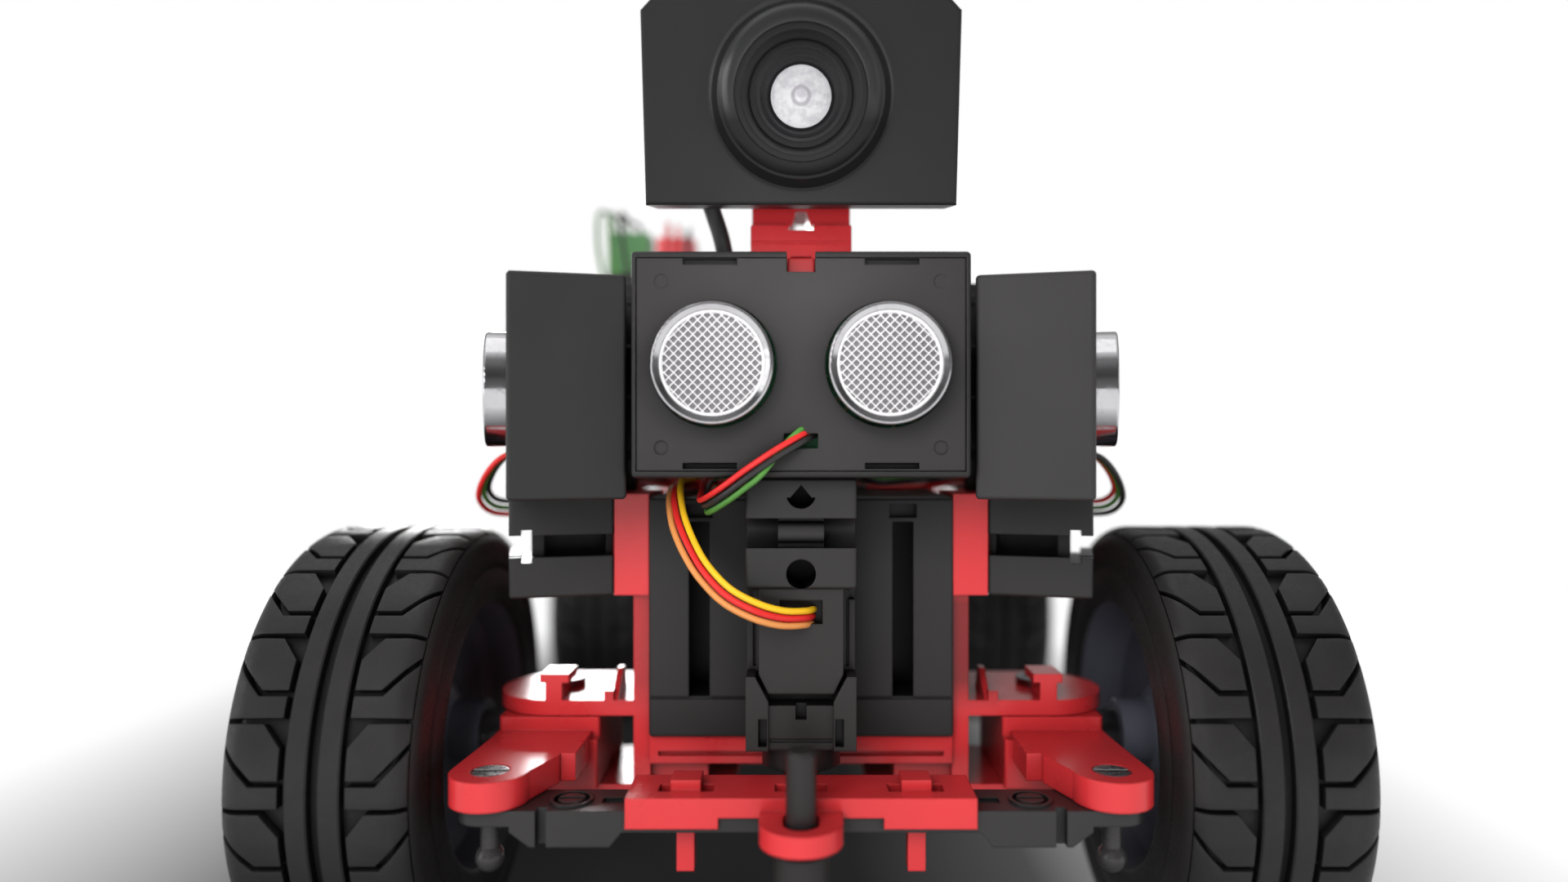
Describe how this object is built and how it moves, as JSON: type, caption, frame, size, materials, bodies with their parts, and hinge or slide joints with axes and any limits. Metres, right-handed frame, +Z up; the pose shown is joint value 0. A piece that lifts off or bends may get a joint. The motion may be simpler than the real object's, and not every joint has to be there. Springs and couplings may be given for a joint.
{
  "type": "steered robot car",
  "caption": "Four-wheeled robot car of 15 mm grid blocks with servo steering, three round-eyed distance sensors, a tilting camera, rear gear drive and a flat controller.",
  "frame": {"origin": "on the floor under the middle of the car", "axes": "-Y towards the nose, +X to the right seen looking at the nose, +Z up"},
  "size_m": [0.1502, 0.211, 0.1406],
  "materials": {
    "red_plastic": "satin moulded",
    "black_plastic": "satin moulded",
    "sensor_face": "fine matt",
    "steel": "turned",
    "can_metal": "bright",
    "motor_steel": "zinc plated",
    "tyre_rubber": "fine grained",
    "rim_plastic": "satin",
    "camera_plastic": "satin",
    "lens_glass": "polished",
    "circuit_board": "solder mask",
    "controller_plastic": "satin",
    "screen": "glossy",
    "button": "soft",
    "battery_wrap": "shrink film",
    "cable": "soft sheath",
    "plug": "moulded"
  },
  "bodies": {
    "chassis": {"base_frame": "red_plastic", "king_pins": "steel", "column_block": "black_plastic", "centre_block": "black_plastic", "side_blocks": "black_plastic", "angle_blocks": "red_plastic", "servo_body": "black_plastic", "servo_collar": "black_plastic", "front_sensor_shell": "black_plastic", "left_sensor_shell": "black_plastic", "right_sensor_shell": "black_plastic", "front_sensor_faceplate": "sensor_face", "left_sensor_faceplate": "sensor_face", "right_sensor_faceplate": "sensor_face", "sensor_transducers": "can_metal", "sensor_boards": "circuit_board", "camera_post": "red_plastic", "camera_hinge_pin": "steel", "chassis_beam": "black_plastic", "rear_deck": "red_plastic", "rear_bumper": "red_plastic", "gearboxes": "black_plastic", "motor_cans": "motor_steel", "battery_case": "black_plastic", "battery_pack": "battery_wrap", "controller_case": "controller_plastic", "controller_board": "circuit_board", "controller_cover": "controller_plastic", "controller_screen": "screen", "cover_screws": "steel", "cable_loom": "cable", "camera_cable": "cable", "controller_plugs": "plug"},
    "servo_output": {"servo_horn": "black_plastic"},
    "left_steering": {"left_knuckle": "red_plastic", "left_tie_pin": "steel", "left_stub_axle": "steel", "left_hub_nut": "steel"},
    "right_steering": {"right_knuckle": "red_plastic", "right_tie_pin": "steel", "right_stub_axle": "steel", "right_hub_nut": "steel"},
    "steering_link": {"tie_rod": "black_plastic", "steering_bridge": "red_plastic"},
    "front_left_wheel": {"front_left_tyre": "tyre_rubber", "front_left_rim": "rim_plastic"},
    "front_right_wheel": {"front_right_tyre": "tyre_rubber", "front_right_rim": "rim_plastic"},
    "rear_left_wheel": {"rear_left_tyre": "tyre_rubber", "rear_left_rim": "rim_plastic", "left_drive_shaft": "steel"},
    "rear_right_wheel": {"rear_right_tyre": "tyre_rubber", "rear_right_rim": "rim_plastic", "right_drive_shaft": "steel"},
    "camera_head": {"camera_front_shell": "camera_plastic", "camera_back_shell": "camera_plastic", "camera_lens": "lens_glass", "camera_board": "circuit_board"},
    "focus_ring": {"camera_focus_ring": "camera_plastic"},
    "button": {"power_button": "button"}
  },
  "joints": [
    {"name": "servo_turn", "type": "hinge", "parent": "chassis", "child": "servo_output", "pos_m": [0, -0.0825, 0.0265], "axis": [0, 0, 1], "range_deg": [-32, 32]},
    {"name": "left_steer", "type": "hinge", "parent": "chassis", "child": "left_steering", "pos_m": [-0.0375, -0.064, 0.0325], "axis": [0, 0, 1], "range_deg": [-20, 20]},
    {"name": "right_steer", "type": "hinge", "parent": "chassis", "child": "right_steering", "pos_m": [0.0375, -0.064, 0.0325], "axis": [0, 0, 1], "range_deg": [-20, 20]},
    {"name": "link_swing", "type": "hinge", "parent": "left_steering", "child": "steering_link", "pos_m": [-0.0407, -0.0925, 0.0307], "axis": [0, 0, 1], "range_deg": [-18.5, 18.5]},
    {"name": "front_left_spin", "type": "hinge", "parent": "left_steering", "child": "front_left_wheel", "pos_m": [-0.0623, -0.064, 0.0325], "axis": [1, 0, 0], "continuous": true},
    {"name": "front_right_spin", "type": "hinge", "parent": "right_steering", "child": "front_right_wheel", "pos_m": [0.0623, -0.064, 0.0325], "axis": [1, 0, 0], "continuous": true},
    {"name": "rear_left_spin", "type": "hinge", "parent": "chassis", "child": "rear_left_wheel", "pos_m": [-0.0623, 0.064, 0.0325], "axis": [1, 0, 0], "continuous": true},
    {"name": "rear_right_spin", "type": "hinge", "parent": "chassis", "child": "rear_right_wheel", "pos_m": [0.0623, 0.064, 0.0325], "axis": [1, 0, 0], "continuous": true},
    {"name": "camera_tilt", "type": "hinge", "parent": "chassis", "child": "camera_head", "pos_m": [0, -0.07, 0.121], "axis": [1, 0, 0], "range_deg": [-30, 13]},
    {"name": "focus_turn", "type": "hinge", "parent": "camera_head", "child": "focus_ring", "pos_m": [0, -0.09135, 0.1244], "axis": [0, -0.9823, -0.1874], "range_deg": [-60, 60]},
    {"name": "button_press", "type": "slide", "parent": "chassis", "child": "button", "axis": [0, 0, -1], "range_m": [0, 0.0009], "stiffness_N_per_m": 200}
  ],
  "couplings": [
    {"joint": "left_steer", "follows": "servo_turn", "ratio": 0.613},
    {"joint": "right_steer", "follows": "servo_turn", "ratio": 0.613},
    {"joint": "link_swing", "follows": "servo_turn", "ratio": -0.566}
  ]
}
